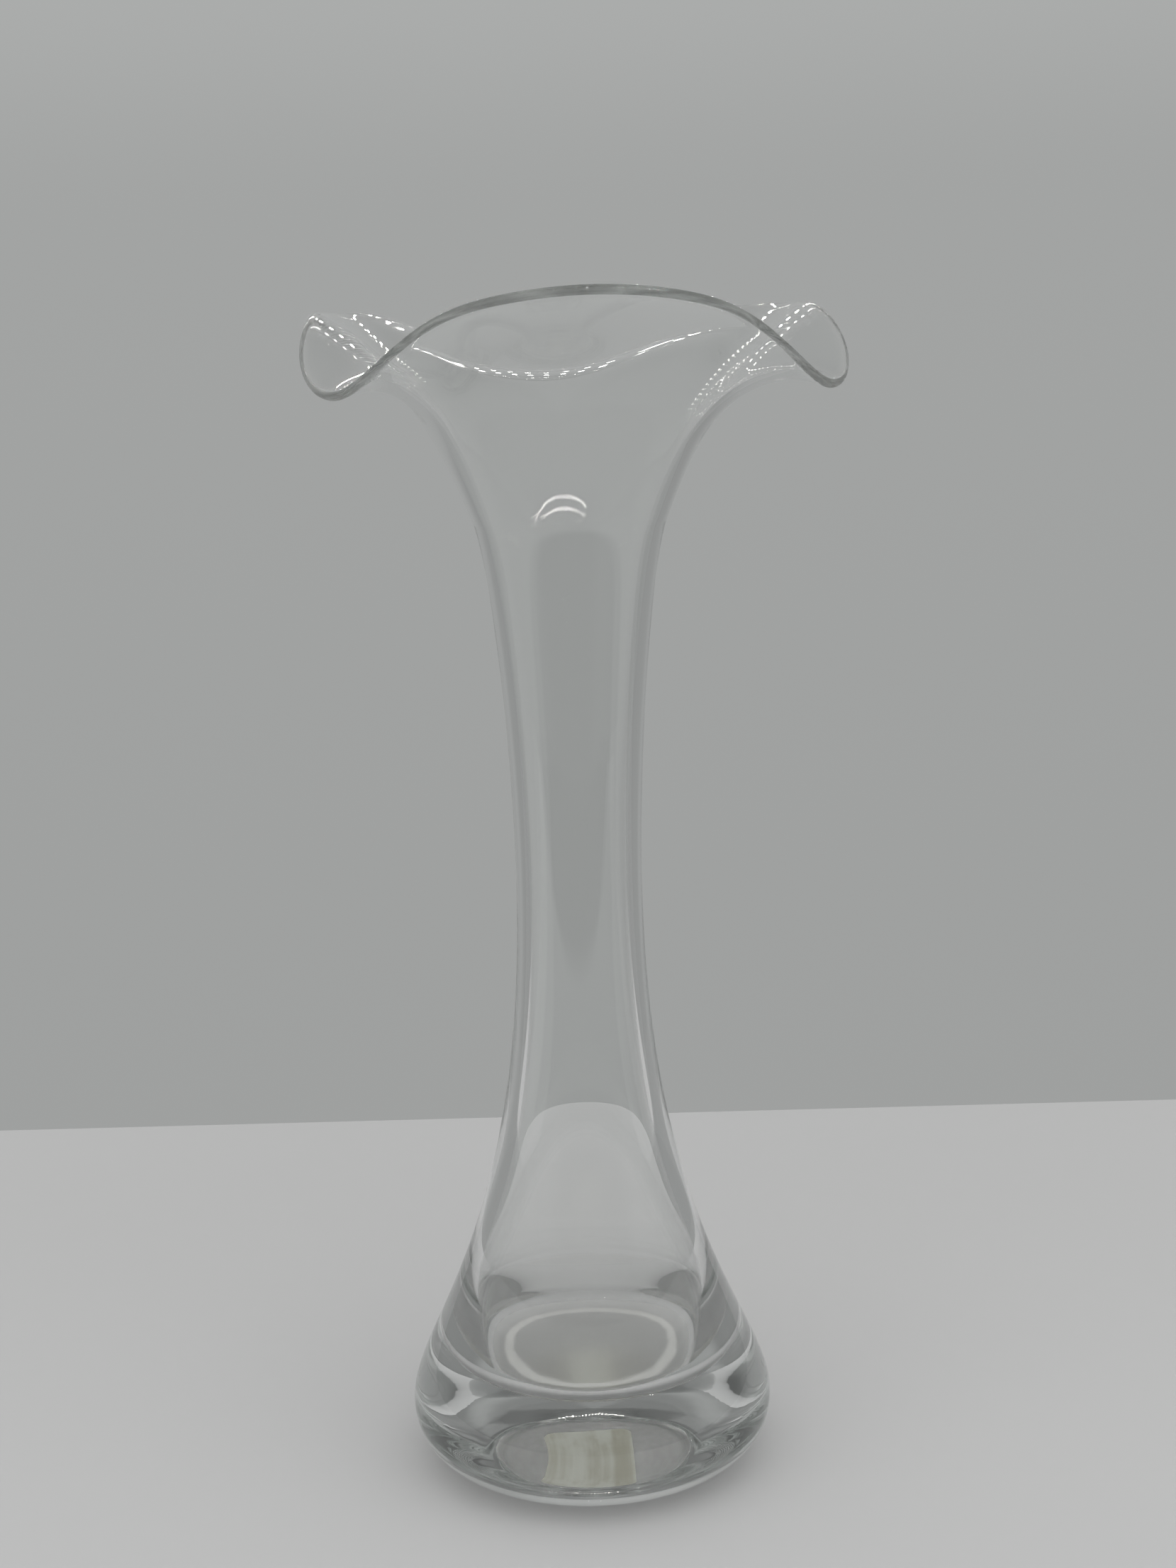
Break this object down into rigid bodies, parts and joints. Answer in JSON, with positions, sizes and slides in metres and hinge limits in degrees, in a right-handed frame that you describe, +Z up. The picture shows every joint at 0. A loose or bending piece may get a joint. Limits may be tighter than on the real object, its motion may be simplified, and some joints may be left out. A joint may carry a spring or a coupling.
{
  "type": "jack-in-the-pulpit vase",
  "caption": "Tall clear glass vase with a heavy rounded base, a slender drawn stem and a flared lip folded into a raised hood and two side lobes.",
  "frame": {"origin": "on the turning axis of the body, at the level of the ring that the foot stands on", "axes": "+Z up along the turning axis, -Y towards the hood, +X towards the lobe named right"},
  "size_m": [0.1036, 0.1144, 0.2426],
  "materials": {
    "clear_glass": "fire polished",
    "label_paper": "matte, faded"
  },
  "bodies": {
    "root": {"heavy_base": "clear_glass", "lower_body": "clear_glass", "stem": "clear_glass", "throat": "clear_glass", "hood": "clear_glass", "right_ear": "clear_glass", "left_ear": "clear_glass", "base_label": "label_paper"}
  },
  "joints": []
}
